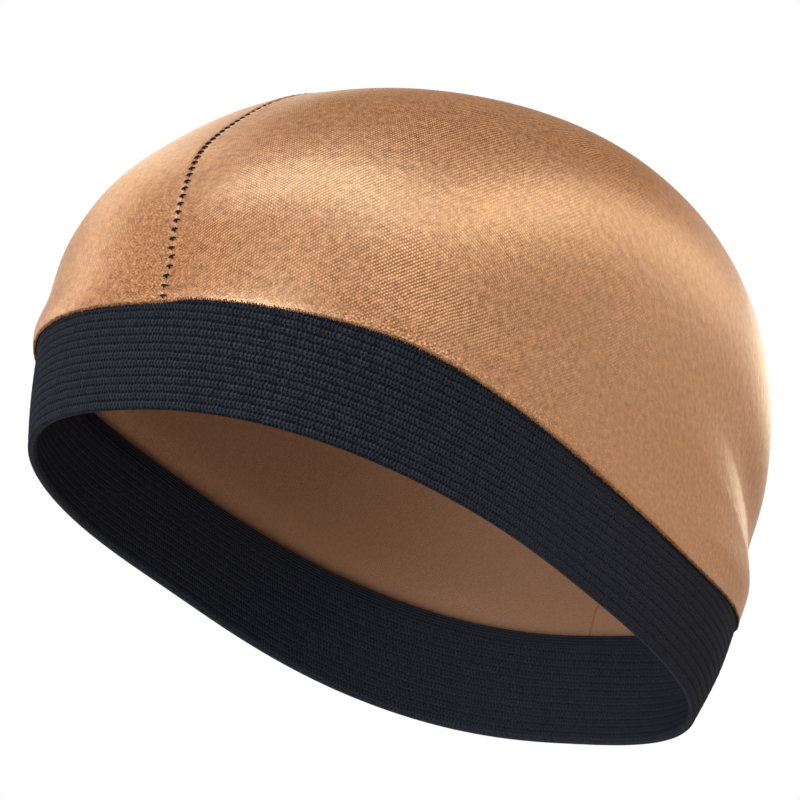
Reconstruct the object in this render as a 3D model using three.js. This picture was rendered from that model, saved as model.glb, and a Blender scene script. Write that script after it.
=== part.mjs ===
// A stretch satin wig cap in the shape it has on a head: two satin panels that meet along a centre seam,
// and a wide elastic band sewn on under their hem. Millimetres, +Z up, +X to the wearer's left, -Y the face.
// The origin is the middle of the head opening, where the band grips the head.
import * as THREE from 'three';

const DEG = Math.PI / 180;

// The dome, measured from the plane of its rim
const halfWidth = 74.5;
const frontReach = 102.5;
const backReach = 106.5;
const widestHeight = 40;
const domeHeight = 131.5;
const apexSetback = 20;

// The rim slopes down to the nape
const rimTilt = 24.5 * DEG;

// Elastic band and satin
const bandThickness = 1.8;
const bandEdgeRound = 0.5;
const hemLap = 3.2;
const satinThickness = 1.2;
const seamGap = 0.3;

// How the outline changes from front to back: plan and profile are superellipse powers, and rim is the rim's
// reach as a share of the widest ring's
const sectors = {
  front: { plan: 2.35, profile: 2.12, rim: 0.927 },
  side: { profile: 2.84, rim: 0.953 },
  back: { plan: 2.7, profile: 1.92, rim: 0.952 },
};

// The two edges of the cap round the head: azimuth runs from the face to the wearer's left, hem is the height
// of the satin's lower edge above the rim's plane, and rim is how far the band's edge lies above that plane
const edges = [
  { azimuth: -180, hem: 24.5, rim: -4.4 },
  { azimuth: -140, hem: 24.5, rim: -4 },
  { azimuth: -100, hem: 24, rim: -2 },
  { azimuth: -60, hem: 25.3, rim: -1.4 },
  { azimuth: -20, hem: 23.5, rim: 0 },
  { azimuth: 20, hem: 27.9, rim: 1 },
  { azimuth: 60, hem: 27.8, rim: 0.1 },
  { azimuth: 100, hem: 23.2, rim: -2 },
  { azimuth: 140, hem: 24.6, rim: -4 },
];
const edgeStep = 40;
const rimFade = 30;

// Bulges and dents of the worn cap: height is above the rim's plane, and reach is out of the dome
const bulges = [
  { place: 'temple flare', azimuth: -52, height: 32, reach: 2.2, azimuthSpread: 28, heightSpread: 6 },
  { place: 'temple waist', azimuth: -50, height: 43, reach: -0.4, azimuthSpread: 30, heightSpread: 7 },
  { place: 'brow dent', azimuth: -30, height: 90, reach: -2.2, azimuthSpread: 45, heightSpread: 22 },
  { place: 'flat top', azimuth: 20, height: 122, reach: -1.9, azimuthSpread: 70, heightSpread: 14 },
  { place: 'back hollow', azimuth: 125, height: 62, reach: -1.5, azimuthSpread: 32, heightSpread: 18 },
  { place: 'back tuck', azimuth: 127, height: 48, reach: -3.4, azimuthSpread: 22, heightSpread: 9 },
  { place: 'band on the brow', azimuth: 32, height: 13, reach: -1.7, azimuthSpread: 35, heightSpread: 12 },
  { place: 'band behind the ear', azimuth: 118, height: 12, reach: 1.6, azimuthSpread: 32, heightSpread: 12 },
];

// The centre seam's turn about the head, by level: 0 at the apex, 1 on the widest ring, 2 on the rim
const seamPath = [
  { level: 0, turn: 0 },
  { level: 0.5, turn: -2.8 },
  { level: 0.75, turn: -0.9 },
  { level: 1, turn: 4.1 },
  { level: 1.25, turn: 4.5 },
];

// The seam's lean to the wearer's right over the top, as a share of the way to the widest ring
const seamLean = 0.11;

// The satin wall above its lower edge: how far its two faces stand out of the dome
const hemWall = [
  { up: 0, inner: 0.5, outer: 0.9 },
  { up: 0.7, inner: 0.35, outer: 1.5 },
  { up: 2.4, inner: 0.35, outer: 1.7 },
  { up: 4.4, inner: 0.35, outer: 1.45 },
  { up: 8, inner: -0.7, outer: 0.6 },
  { up: 14, inner: 0.2 - satinThickness, outer: 0.2 },
];

// Mesh fineness: steps round half the head, rows of a panel above its hem, and rows up the band
const aroundHalf = 38;
const rowsAboveHem = 15;
const bandRows = 7;

// The seam's turn at a level, straight between the rows of its table
function seamTurn(level) {
  const after = seamPath.findIndex((row) => row.level > level);
  if (after < 0) return seamPath[seamPath.length - 1].turn * DEG;
  const [low, high] = [seamPath[after - 1], seamPath[after]];
  const share = (level - low.level) / (high.level - low.level);
  return (low.turn + share * (high.turn - low.turn)) * DEG;
}

// A sector value at an azimuth, blended smoothly from front over side to back
function blend(key, azimuth) {
  const ahead = Math.cos(azimuth);
  const end = ahead > 0 ? sectors.front : sectors.back;
  return end[key] * ahead ** 2 + sectors.side[key] * (1 - ahead ** 2);
}

// Horizontal reach of the widest ring
function widestReach(azimuth) {
  const ahead = Math.cos(azimuth);
  const end = ahead > 0 ? sectors.front : sectors.back;
  const length = ahead > 0 ? frontReach : backReach;
  const sum = Math.abs(Math.sin(azimuth) / halfWidth) ** end.plan + Math.abs(ahead / length) ** end.plan;
  return sum ** (-1 / end.plan);
}

// Point of the smooth dome: x to the left, y to the back, z above the rim's plane
function dome(azimuth, level) {
  const reach = widestReach(azimuth);
  const down = Math.max(level - 1, 0);
  let share = 1 - (1 - blend('rim', azimuth)) * down ** 2;
  let rise = 0;
  if (level < 1) {
    const power = blend('profile', azimuth);
    const angle = (1 - level) * Math.PI / 2;
    const size = (Math.cos(angle) ** power + Math.sin(angle) ** power) ** (-1 / power);
    share = Math.cos(angle) * size;
    rise = Math.sin(angle) * size;
  }
  const height = widestHeight * (1 - down) + (domeHeight - widestHeight) * rise;
  const x = share * reach * Math.sin(azimuth);
  const y = -share * reach * Math.cos(azimuth) + apexSetback * rise ** 2;
  return new THREE.Vector3(x, y, height);
}

// How far the bulges push the skin out, fading to none at the apex
function bulgeReach(azimuth, height, level) {
  let reach = 0;
  for (const bulge of bulges) {
    const turn = THREE.MathUtils.euclideanModulo(azimuth / DEG - bulge.azimuth + 180, 360) - 180;
    const nearness = (turn / bulge.azimuthSpread) ** 2 + ((height - bulge.height) / bulge.heightSpread) ** 2;
    reach += bulge.reach * Math.exp(-nearness);
  }
  return reach * (1 - Math.exp(-((level / 0.25) ** 2)));
}

// A column of the edges table at an azimuth, as a smooth closed curve through its rows
function edgeValue(column, azimuth) {
  const place = THREE.MathUtils.euclideanModulo(azimuth / DEG + 180, 360) / edgeStep;
  const row = Math.floor(place);
  const t = place - row;
  const [a, b, c, d] = [-1, 0, 1, 2].map((k) => edges[(row + k + edges.length) % edges.length][column]);
  return b + 0.5 * t * (c - a + t * (2 * a - 5 * b + 4 * c - d + t * (3 * (b - c) + d - a)));
}

// Point of the skin with its bulges. left and front are disc coordinates, and their length is the level.
function skin(left, front) {
  const level = Math.hypot(left, front);
  const azimuth = Math.atan2(left, front);
  const point = dome(azimuth, level);
  const rimRise = edgeValue('rim', azimuth) * Math.max(1 - point.z / rimFade, 0);
  const outward = new THREE.Vector3(point.x, point.y, Math.max(point.z - widestHeight, 0)).normalize();
  point.addScaledVector(outward, bulgeReach(azimuth, point.z, level));
  point.z += rimRise;
  return point;
}

// Point at a distance out of the skin, along its normal
function offSkin(left, front, distance) {
  const step = 0.01;
  const leftward = skin(left + step, front).sub(skin(left - step, front));
  const forward = skin(left, front + step).sub(skin(left, front - step));
  const normal = forward.cross(leftward).normalize();
  return skin(left, front).addScaledVector(normal, distance);
}

// Level of the dome at a height above the rim
function levelAt(azimuth, height) {
  if (height <= widestHeight) return 2 - height / widestHeight;
  const power = blend('profile', azimuth);
  const rise = (height - widestHeight) / (domeHeight - widestHeight);
  const share = (1 - rise ** power) ** (1 / power);
  return 1 - Math.atan2(rise, share) / (Math.PI / 2);
}

// One named mesh from its points and triangles
function makeMesh(name, points, triangles, material) {
  const geometry = new THREE.BufferGeometry();
  const positions = points.flatMap((point) => point.toArray());
  geometry.setAttribute('position', new THREE.Float32BufferAttribute(positions, 3));
  geometry.setIndex(triangles);
  geometry.computeVertexNormals();
  const mesh = new THREE.Mesh(geometry, material);
  mesh.name = name;
  return mesh;
}

// Places of a panel's points along one row, from the seam over the brow to the seam at the nape. Row 0 is the
// hem's lower edge, and the last row is drawn together at the apex.
function panelRow(i, side) {
  const hemRow = hemWall[Math.min(i, hemWall.length - 1)];
  const toApex = Math.max(i - hemWall.length + 1, 0) / rowsAboveHem;
  return Array.from({ length: aroundHalf + 1 }, (_, j) => {
    const straight = side * (j / aroundHalf) * Math.PI;
    const atHem = straight + seamTurn(levelAt(straight, edgeValue('hem', straight)));
    const level = levelAt(atHem, edgeValue('hem', atHem) + hemRow.up) * (1 - toApex);
    const azimuth = straight + seamTurn(level);
    const lean = seamLean * Math.max(1 - level ** 2, 0) ** 2;
    return { left: level * Math.sin(azimuth) - lean, front: level * Math.cos(azimuth) };
  });
}

// One satin panel, a closed wall: side is 1 for the wearer's left and -1 for the right
function crownPanel(name, side, material) {
  const lastRow = hemWall.length - 1 + rowsAboveHem;
  const points = [];
  for (let i = 0; i < lastRow; i += 1) {
    const { inner, outer } = hemWall[Math.min(i, hemWall.length - 1)];
    const places = panelRow(i, side);
    points.push(...places.map(({ left, front }) => offSkin(left, front, inner)));
    points.push(...places.reverse().map(({ left, front }) => offSkin(left, front, outer)));
  }
  const { inner, outer } = hemWall[hemWall.length - 1];
  points.push(offSkin(-seamLean, 0, inner), offSkin(-seamLean, 0, outer));
  for (const point of points) point.x += side * seamGap / 2;

  const half = aroundHalf + 1;
  const loop = 2 * half;
  const [apexInner, apexOuter] = [lastRow * loop, lastRow * loop + 1];
  const triangles = [];
  const add = (a, b, c) => triangles.push(...(side > 0 ? [a, b, c] : [a, c, b]));
  for (let i = 0; i < lastRow - 1; i += 1) {
    for (let k = 0; k < loop; k += 1) {
      const [a, b] = [i * loop + k, i * loop + (k + 1) % loop];
      add(a, b + loop, b);
      add(a, a + loop, b + loop);
    }
  }
  for (let k = 0; k < loop; k += 1) {
    const next = (k + 1) % loop;
    const [a, b] = [(lastRow - 1) * loop + k, (lastRow - 1) * loop + next];
    const [apexA, apexB] = [k, next].map((at) => (at < half ? apexInner : apexOuter));
    add(a, apexB, b);
    if (apexA !== apexB) add(a, apexA, apexB);
  }
  for (let k = 0; k < half - 1; k += 1) {
    add(k, k + 1, loop - 2 - k);
    add(k, loop - 2 - k, loop - 1 - k);
  }
  return makeMesh(name, points, triangles, material);
}

// Section of the band, up its outer face and down its inner one: share is of the height, out is off the skin
function bandSection() {
  const shares = Array.from({ length: bandRows }, (_, i) => i / (bandRows - 1));
  const round = (share) => (share === 0 || share === 1 ? bandEdgeRound : 0);
  const outer = shares.map((share) => ({ share, out: -round(share) }));
  const inner = shares.map((share) => ({ share, out: round(share) - bandThickness }));
  return [...outer, ...inner.reverse()];
}

// The elastic band, a closed ring that runs up under the satin's hem
function elasticBand(name, material) {
  const section = bandSection();
  const around = 2 * aroundHalf;
  const points = [];
  const triangles = [];
  for (let j = 0; j < around; j += 1) {
    const azimuth = (j / aroundHalf) * Math.PI;
    const top = edgeValue('hem', azimuth) + hemLap;
    const [row, nextRow] = [j * section.length, ((j + 1) % around) * section.length];
    section.forEach(({ share, out }, k) => {
      const level = levelAt(azimuth, share * top);
      const next = (k + 1) % section.length;
      points.push(offSkin(level * Math.sin(azimuth), level * Math.cos(azimuth), out));
      triangles.push(row + k, nextRow + k, row + next);
      triangles.push(row + next, nextRow + k, nextRow + next);
    });
  }
  return makeMesh(name, points, triangles, material);
}

const satin = new THREE.MeshStandardMaterial({ color: 0xb8855e, roughness: 0.42, metalness: 0 });
const elastic = new THREE.MeshStandardMaterial({ color: 0x21242e, roughness: 0.9, metalness: 0 });

const group = new THREE.Group();
group.rotation.x = -rimTilt;
group.add(crownPanel('crown_left', 1, satin));
group.add(crownPanel('crown_right', -1, satin.clone()));
group.add(elasticBand('elastic_band', elastic));

export default group;
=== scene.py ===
# %% [markdown]
# # A satin wig cap in the shape it has on a head
# The real cap is two panels of stretch satin, sewn together along the middle of the head and hemmed over a
# wide knitted elastic band. It has no shape of its own on a table: the head inside gives it one. So one
# formula makes that shape, and every piece below lies on it at its own distance.

# %% Open the frame
import math

import bpy
import numpy as np
from mathutils import Matrix, Vector


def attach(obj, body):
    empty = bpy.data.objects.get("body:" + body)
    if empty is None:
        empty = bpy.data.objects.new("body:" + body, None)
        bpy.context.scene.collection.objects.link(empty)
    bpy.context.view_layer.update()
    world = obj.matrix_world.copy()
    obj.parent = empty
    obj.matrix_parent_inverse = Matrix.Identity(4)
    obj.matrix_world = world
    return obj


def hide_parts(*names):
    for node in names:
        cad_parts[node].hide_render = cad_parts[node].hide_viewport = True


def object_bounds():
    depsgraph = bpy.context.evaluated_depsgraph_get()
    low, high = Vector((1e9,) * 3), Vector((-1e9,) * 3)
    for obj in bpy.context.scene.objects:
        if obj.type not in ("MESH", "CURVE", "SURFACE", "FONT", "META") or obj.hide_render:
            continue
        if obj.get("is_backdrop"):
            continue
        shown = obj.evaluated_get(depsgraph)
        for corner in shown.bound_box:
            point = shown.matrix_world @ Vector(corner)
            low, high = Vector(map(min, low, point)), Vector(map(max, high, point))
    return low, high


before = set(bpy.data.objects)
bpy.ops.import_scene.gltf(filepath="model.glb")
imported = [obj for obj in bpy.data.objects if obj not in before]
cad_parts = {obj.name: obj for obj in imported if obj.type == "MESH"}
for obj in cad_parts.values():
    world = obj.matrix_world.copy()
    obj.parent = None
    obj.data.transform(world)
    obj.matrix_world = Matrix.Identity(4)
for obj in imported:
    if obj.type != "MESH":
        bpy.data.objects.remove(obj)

cad_low, cad_high = (np.array(corner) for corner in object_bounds())
print("frame nodes:", sorted(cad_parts), "size:", np.round(cad_high - cad_low, 4))

# %% [markdown]
# ## The shape of the head under the cloth
# A dome could be pushed about by hand, but then the panels, the band and the stitches would each need
# fitting to it. A formula keeps them together. Seen from above the widest ring is a superellipse, a
# rounded box that is longer than it is wide, and each profile from that ring to the apex is another one.
# Below the ring the dome closes in a little towards the rim. All sizes are in millimetres of the frame's
# own width, and the rim's plane is level until the end, when everything is tilted down to the nape.

# %% Sizes of the dome
FRAME_WIDTH = 152.3
MM = (cad_high[0] - cad_low[0]) / FRAME_WIDTH
HALF_WIDTH = 74.5
FRONT_REACH = 102.5
BACK_REACH = 106.5
WIDEST_HEIGHT = 40.0
DOME_HEIGHT = 131.5
APEX_SETBACK = 20.0
RIM_TILT = math.radians(24.5)

SECTORS = {
    "front": {"plan": 2.35, "profile": 2.12, "rim": 0.927},
    "side": {"profile": 2.84, "rim": 0.953},
    "back": {"plan": 2.7, "profile": 1.92, "rim": 0.952},
}
print("one millimetre of the pattern is", round(MM * 1000, 4), "mm in the frame")


# %% The smooth dome
def blend_sectors(key, azimuth):
    """Value of a sector's column, eased from front over side to back."""
    ahead = np.cos(azimuth)
    end = np.where(ahead > 0, SECTORS["front"][key], SECTORS["back"][key])
    return end * ahead**2 + SECTORS["side"][key] * (1 - ahead**2)


def widest_reach(azimuth):
    """Distance from the middle to the widest ring."""
    ahead = np.cos(azimuth)
    power = np.where(ahead > 0, SECTORS["front"]["plan"], SECTORS["back"]["plan"])
    length = np.where(ahead > 0, FRONT_REACH, BACK_REACH)
    total = np.abs(np.sin(azimuth) / HALF_WIDTH) ** power + np.abs(ahead / length) ** power
    return total ** (-1 / power)


def dome(azimuth, level):
    """Points of the plain dome. Level is 0 at the apex, 1 on the widest ring and 2 on the rim."""
    down = np.maximum(level - 1, 0)
    angle = np.clip(1 - level, 0, 1) * math.pi / 2
    power = blend_sectors("profile", azimuth)
    size = (np.cos(angle) ** power + np.sin(angle) ** power) ** (-1 / power)
    rise = np.sin(angle) * size
    share = np.where(level < 1, np.cos(angle) * size, 1 - (1 - blend_sectors("rim", azimuth)) * down**2)
    reach = share * widest_reach(azimuth)
    height = WIDEST_HEIGHT * (1 - down) + (DOME_HEIGHT - WIDEST_HEIGHT) * rise
    back = -reach * np.cos(azimuth) + APEX_SETBACK * rise**2
    return np.stack([reach * np.sin(azimuth), back, height], -1)


for name, azimuth in {"front": 0, "left": 90, "back": 180}.items():
    print("widest ring,", name, np.round(dome(np.radians(azimuth), np.array(1.0)), 1))

# %% [markdown]
# ## What the wearing adds
# A worn cap isn't a perfect dome. The satin flares over the band at one temple, is drawn in above the nape
# and lies a little flat on top, and neither edge of the band runs quite level. Tables hold these changes,
# one row for each soft bump, with its place, reach and spread.

# %% Bulges, dents and edges
BULGES = (  # azimuth, height, reach, spread round the head, spread in height
    ("temple flare", -52, 28.5, 1.8, 28, 4.2),
    ("temple fullness", -40, 48, 0.6, 30, 9),
    ("brow dent", -30, 90, -1.8, 45, 22),
    ("hollow by the seam", -9, 86, -1.2, 16, 16),
    ("flat top", 20, 122, -1.9, 70, 14),
    ("back hollow", 125, 66, -0.8, 32, 18),
    ("nape fullness", 138, 33, 0.7, 24, 7),
    ("band on the brow", 32, 13, -1.7, 35, 12),
    ("band behind the ear", 120, 14, 2.2, 30, 12),
)
FOLD = (  # azimuth, height and depth of the fold where the cloth turns in over the nape
    (88, 61.5, 0.0),
    (104, 61.5, 0.1),
    (116, 59.5, 0.6),
    (126, 56.0, 1.7),
    (134, 52.0, 2.7),
    (142, 47.0, 2.6),
    (152, 44.0, 2.0),
    (168, 43.5, 1.2),
    (190, 43.5, 0.0),
)
FOLD_ABOVE = 12.0  # how far the fold's soft upper side reaches
FOLD_BELOW = 11.0  # width of its lower flank, which ends in a ridge
FOLD_ROUND = 1.5  # how far the turn between the two is rounded
FOLD_UPPER_SHARE = 0.947  # share of the depth at the top of the turn
FOLD_LOWER_SHARE = 1.17  # share that the lower flank starts from
FOLD_RIDGE_SOFTNESS = 0.06
APEX_CALM = 0.25  # level up to which the apex stays smooth
HEM_HEIGHTS = (  # one each step from the nape, by the right
    25.7, 25.0, 24.5, 24.2, 24.2, 24.7, 25.2, 25.2, 24.8,
    26.0, 27.4, 29.3, 27.1, 24.8, 23.0, 22.0, 24.3, 26.7,
)
RIM_RISES = (-4.4, -4.0, -2.0, -1.4, 0.0, 1.0, 0.1, -2.0, -4.0)
RIM_FADE = 30.0  # height up to which the rim's rise is felt


def smooth_between(at, places, values):
    """Values between the rows of a table, eased so that no corner shows."""
    places, values = np.array(places), np.array(values, dtype=float)
    slopes = np.gradient(values, places)
    k = np.clip(np.searchsorted(places, at) - 1, 0, len(places) - 2)
    width = places[k + 1] - places[k]
    t = np.clip((at - places[k]) / width, 0, 1)
    start, end = slopes[k] * width, slopes[k + 1] * width
    gap = values[k + 1] - values[k]
    return values[k] + t * (start + t * (3 * gap - 2 * start - end + t * (start + end - 2 * gap)))


def round_the_head(values, azimuth):
    """Smooth closed curve through values spread evenly round the head, from the nape by the right."""
    values = np.array(values)
    place = (np.degrees(azimuth) + 180) % 360 / 360 * len(values)
    row = np.floor(place).astype(int)
    t = place - row
    a, b, c, d = (values[(row + k) % len(values)] for k in (-1, 0, 1, 2))
    return b + 0.5 * t * (c - a + t * (2 * a - 5 * b + 4 * c - d + t * (3 * (b - c) + d - a)))


def by_azimuth(azimuth, table):
    """Value from a table with rows of azimuth in degrees and value."""
    return np.interp(np.degrees(azimuth), *zip(*table))


def unit(vectors):
    """The same directions, each one unit long."""
    return vectors / np.linalg.norm(vectors, axis=-1, keepdims=True)


def run_along(points, axis=0):
    """Distance along a line, or along each line of a grid, from its start to each point."""
    step = np.linalg.norm(np.diff(points, axis=axis), axis=-1)
    return np.concatenate([np.zeros_like(step.take([0], axis)), np.cumsum(step, axis)], axis)


def bulge_reach(azimuth, height, level):
    """How far the worn cloth stands out of the plain dome."""
    reach = np.zeros_like(height)
    for _, where, at_height, out, round_spread, height_spread in BULGES:
        turn = (np.degrees(azimuth) - where + 180) % 360 - 180
        reach += out * np.exp(-((turn / round_spread) ** 2) - ((height - at_height) / height_spread) ** 2)
    where, heights, depths = np.array(FOLD, dtype=float).T
    turn = np.degrees(azimuth) % 360
    above = height - smooth_between(turn, where, heights)
    flank = np.maximum(FOLD_LOWER_SHARE - np.hypot(above, FOLD_ROUND) / FOLD_BELOW, 0)
    flank = flank**2 / (flank + FOLD_RIDGE_SOFTNESS)
    share = np.where(above > 0, np.exp(-((above / FOLD_ABOVE) ** 2)) * FOLD_UPPER_SHARE, flank)
    reach -= np.maximum(smooth_between(turn, where, depths), 0) * share
    return reach * (1 - np.exp(-((level / APEX_CALM) ** 2)))


def skin(left, front):
    """Points of the worn shape. Left and front are disc coordinates, and their length is the level."""
    level = np.hypot(left, front)
    azimuth = np.arctan2(left, front)
    point = dome(azimuth, level)
    height = point[..., 2]
    outward = np.stack([point[..., 0], point[..., 1], np.maximum(height - WIDEST_HEIGHT, 0)], -1)
    outward /= np.linalg.norm(outward, axis=-1, keepdims=True) + 1e-9
    rim_rise = round_the_head(RIM_RISES, azimuth) * np.maximum(1 - height / RIM_FADE, 0)
    point = point + outward * bulge_reach(azimuth, height, level)[..., None]
    point[..., 2] += rim_rise
    return point


def skin_normal(left, front):
    """Outward direction of the worn shape."""
    step = 0.01
    leftward = skin(left + step, front) - skin(left - step, front)
    forward = skin(left, front + step) - skin(left, front - step)
    return unit(np.cross(forward, leftward))


def level_at(azimuth, height):
    """Level of the dome at a height above the rim."""
    power = blend_sectors("profile", azimuth)
    rise = np.clip((height - WIDEST_HEIGHT) / (DOME_HEIGHT - WIDEST_HEIGHT), 0, 1)
    upper = 1 - np.arctan2(rise, (1 - rise**power) ** (1 / power)) / (math.pi / 2)
    return np.where(height <= WIDEST_HEIGHT, 2 - height / WIDEST_HEIGHT, upper)


def to_frame(points):
    """Millimetres above the level rim turned into metres of the frame."""
    c, s = math.cos(RIM_TILT), math.sin(RIM_TILT)
    x, y, z = np.moveaxis(np.asarray(points), -1, 0)
    return np.stack([x, y * c + z * s, -y * s + z * c], -1) * MM


around = np.radians(np.arange(361))
girth = run_along(skin(2 * np.sin(around), 2 * np.cos(around)))[-1]
print("rim girth:", round(float(girth), 1), "mm, bumps:", [row[0] for row in BULGES])

# %% [markdown]
# ## Camera
# The camera stands level with the rim, about forty degrees round to the wearer's left, with a long lens.
# It is set before anything is dressed, so that each piece can be judged in the view that counts.

# %% Camera
CAMERA_AZIMUTH = math.radians(39.97)
CAMERA_ELEVATION = math.radians(-1.765)
CAMERA_ROLL = math.radians(0.33)
CAMERA_DISTANCE = 1.064
CAMERA_TARGET = Vector((0.0034, 0.0129, 0.0448))
CAMERA_LENS = 187.3


def direction(azimuth, elevation):
    """Unit step away from the cap. Azimuth counts from straight ahead round by the wearer's left."""
    level = math.cos(elevation)
    return Vector((math.sin(azimuth) * level, -math.cos(azimuth) * level, math.sin(elevation)))


def add_camera():
    """The view that the cap is judged from."""
    data = bpy.data.cameras.new("camera")
    data.lens = CAMERA_LENS
    data.sensor_width = 36.0
    data.clip_start = 0.01
    camera = bpy.data.objects.new("camera", data)
    bpy.context.scene.collection.objects.link(camera)
    toward = direction(CAMERA_AZIMUTH, CAMERA_ELEVATION)
    camera.location = CAMERA_TARGET + toward * CAMERA_DISTANCE
    turn = toward.to_track_quat("Z", "Y").to_matrix()
    camera.rotation_euler = (turn @ Matrix.Rotation(CAMERA_ROLL, 3, "Z")).to_euler()
    bpy.context.scene.camera = camera
    return camera


camera = add_camera()
print("camera at", [round(v, 3) for v in camera.location])


# %% Helpers for meshes
def new_mesh_object(name, points, faces, material_index=None):
    """A mesh object from points in metres and faces of any size, shaded smooth."""
    mesh = bpy.data.meshes.new(name)
    mesh.from_pydata([tuple(p) for p in points], [], [tuple(int(i) for i in f) for f in faces])
    mesh.update()
    mesh.shade_smooth()
    if material_index is not None:
        mesh.polygons.foreach_set("material_index", np.asarray(material_index, dtype=np.int32))
    piece = bpy.data.objects.new(name, mesh)
    bpy.context.scene.collection.objects.link(piece)
    return piece


def set_uv(piece, uv):
    """Gives each corner of the mesh the UV place of its point."""
    mesh = piece.data
    corners = np.empty(len(mesh.loops), dtype=np.int32)
    mesh.loops.foreach_get("vertex_index", corners)
    layer = mesh.uv_layers.new(name="cloth")
    layer.data.foreach_set("uv", np.asarray(uv, dtype=np.float32)[corners].ravel())


def set_value(piece, name, values):
    """Stores one number for each point of the mesh."""
    layer = piece.data.attributes.new(name, "FLOAT", "POINT")
    layer.data.foreach_set("value", np.asarray(values, dtype=np.float32))


# %% Helpers for node trees
class Nodes:
    """Short way to write a node tree."""

    def __init__(self, tree):
        self.tree = tree

    def add(self, kind, inputs=None, output=0, **settings):
        """Adds a node, sets its properties and inputs, and returns one of its outputs."""
        node = self.tree.nodes.new(kind if "Node" in kind else "ShaderNode" + kind)
        for key, value in settings.items():
            setattr(node, key, value)
        for key, value in (inputs or {}).items():
            self.put(node.inputs[key], value)
        return node.outputs[output]

    def put(self, socket, value):
        """Links a socket to another node's output, or sets it to a constant."""
        if isinstance(value, bpy.types.NodeSocket):
            self.tree.links.new(value, socket)
        else:
            socket.default_value = value

    def math(self, operation, a, b=0.0, c=0.0):
        """One number worked out from others."""
        return self.add("Math", {0: a, 1: b, 2: c}, operation=operation)

    def mix(self, share, first, second):
        """A colour between two others."""
        return self.add("Mix", {"Factor": share, "A": first, "B": second}, "Result", data_type="RGBA")


class Shader(Nodes):
    """Short way to write a material."""

    def __init__(self, name):
        self.material = bpy.data.materials.new(name)
        self.material.use_nodes = True
        super().__init__(self.material.node_tree)

    def stored(self, name):
        """A number that is stored on the mesh."""
        return self.add("Attribute", None, "Fac", attribute_name=name)

    def noise(self, place, scale, detail):
        """Soft random cloud. Scale counts clouds in a metre."""
        return self.add("TexNoise", {"Vector": place, "Scale": scale, "Detail": detail})

    def chance(self, column, row):
        """A random number for each cell of a grid."""
        cell = self.add("CombineXYZ", {"X": column, "Y": row})
        return self.add("TexWhiteNoise", {"Vector": cell}, noise_dimensions="2D")

    def shake(self, cloud, reach, base=0.0):
        """A number moved up and down by a cloud, whose middle is a half."""
        return self.math("MULTIPLY_ADD", self.math("SUBTRACT", cloud, 0.5), reach, base)

    def spread(self, value, low, high, to_low=0.0, to_high=1.0):
        """A number carried from one range to another, and kept inside it."""
        ends = {"From Min": low, "From Max": high, "To Min": to_low, "To Max": to_high}
        return self.add("MapRange", {"Value": value, **ends})

    def bump(self, height, depth, **under):
        """The surface's direction with a relief, whose depth is in metres."""
        return self.add("Bump", {"Strength": 1.0, "Distance": depth, "Height": height, **under})

    def finish(self, **values):
        """Sets the surface's own sockets by name, with spaces written as underscores."""
        surface = self.tree.nodes["Principled BSDF"]
        for key, value in values.items():
            self.put(surface.inputs[key.replace("_", " ")], value)
        return self.material


# %% [markdown]
# ## Satin
# Satin is bright because its threads float over one another for a long way and lie side by side, so a
# broad sheen runs across it. Up close it is a lattice of short rounded floats, less than half a millimetre
# apart. The relief is far too fine for a mesh, so the shader works it out from the cloth's own flat
# pattern: two sets of ridges cross at a slant, and where they meet a float stands up. The floats are
# painted lighter and whiter as painted highlight, and the gaps darker as painted shade, over a faint bump.
# Stretching draws the floats apart unevenly, so the contrast comes and goes in soft patches. The gloss is
# tinted, which makes the sheen golden. Where the weave hardly shows, away from the brow, the colour is
# painted a shade redder, to offset the grey that the white room's reflection lays on the gloss there.

# %% Float lattice
COURSES_PER_MM = (-0.85, 2.05)  # waves of the courses over the flat pattern, towards its back and up
WALES_PER_MM = (2.48, -1.29)


class Weave:
    """The float lattice in a shader: each place's height, and a random number for each float."""

    def __init__(self, shader):
        self.shader = shader
        self.place = shader.add("UVMap", uv_map="cloth")
        rumple = shader.stored("rumple")
        slow = shader.shake(self.noise(190.0, 1.0), 0.9)
        reach = shader.math("MULTIPLY_ADD", rumple, 1.3, 0.2)
        self.drift = shader.shake(self.noise(620.0, 2.0), reach, slow)
        courses = self.turns(COURSES_PER_MM)
        wales = self.turns(WALES_PER_MM)
        both = shader.math("ADD", courses, wales)
        lead = shader.spread(self.noise(58.0, 1.5), 0.36, 0.56, 0.5, 1.0)
        weights = (lead, 0.40, shader.math("SUBTRACT", 1.30, lead))
        total = 0.0
        for turn, weight in zip((courses, wales, both), weights):
            wave = shader.math("COSINE", shader.math("MULTIPLY", turn, math.tau))
            total = shader.math("MULTIPLY_ADD", wave, weight, total)
        self.grains = shader.shake(self.noise(2500.0, 1.0), 5.0)
        regular = shader.math("MULTIPLY_ADD", rumple, -0.47, 0.62)
        regular = shader.math("MULTIPLY", total, regular)
        rough = shader.math("MULTIPLY", rumple, 0.62)
        self.height = shader.math("MULTIPLY_ADD", self.grains, rough, regular)
        self.chance = shader.chance(shader.math("ROUND", courses), shader.math("ROUND", wales))

    def noise(self, scale, detail):
        """Soft random cloud on the flat pattern."""
        return self.shader.noise(self.place, scale, detail)

    def turns(self, per_mm):
        """How many waves lie between the pattern's middle and here."""
        inputs = {0: self.place, 1: (per_mm[0] / MM, per_mm[1] / MM, 0.0)}
        count = self.shader.add("VectorMath", inputs, "Value", operation="DOT_PRODUCT")
        return self.shader.math("ADD", count, self.drift)
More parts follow.
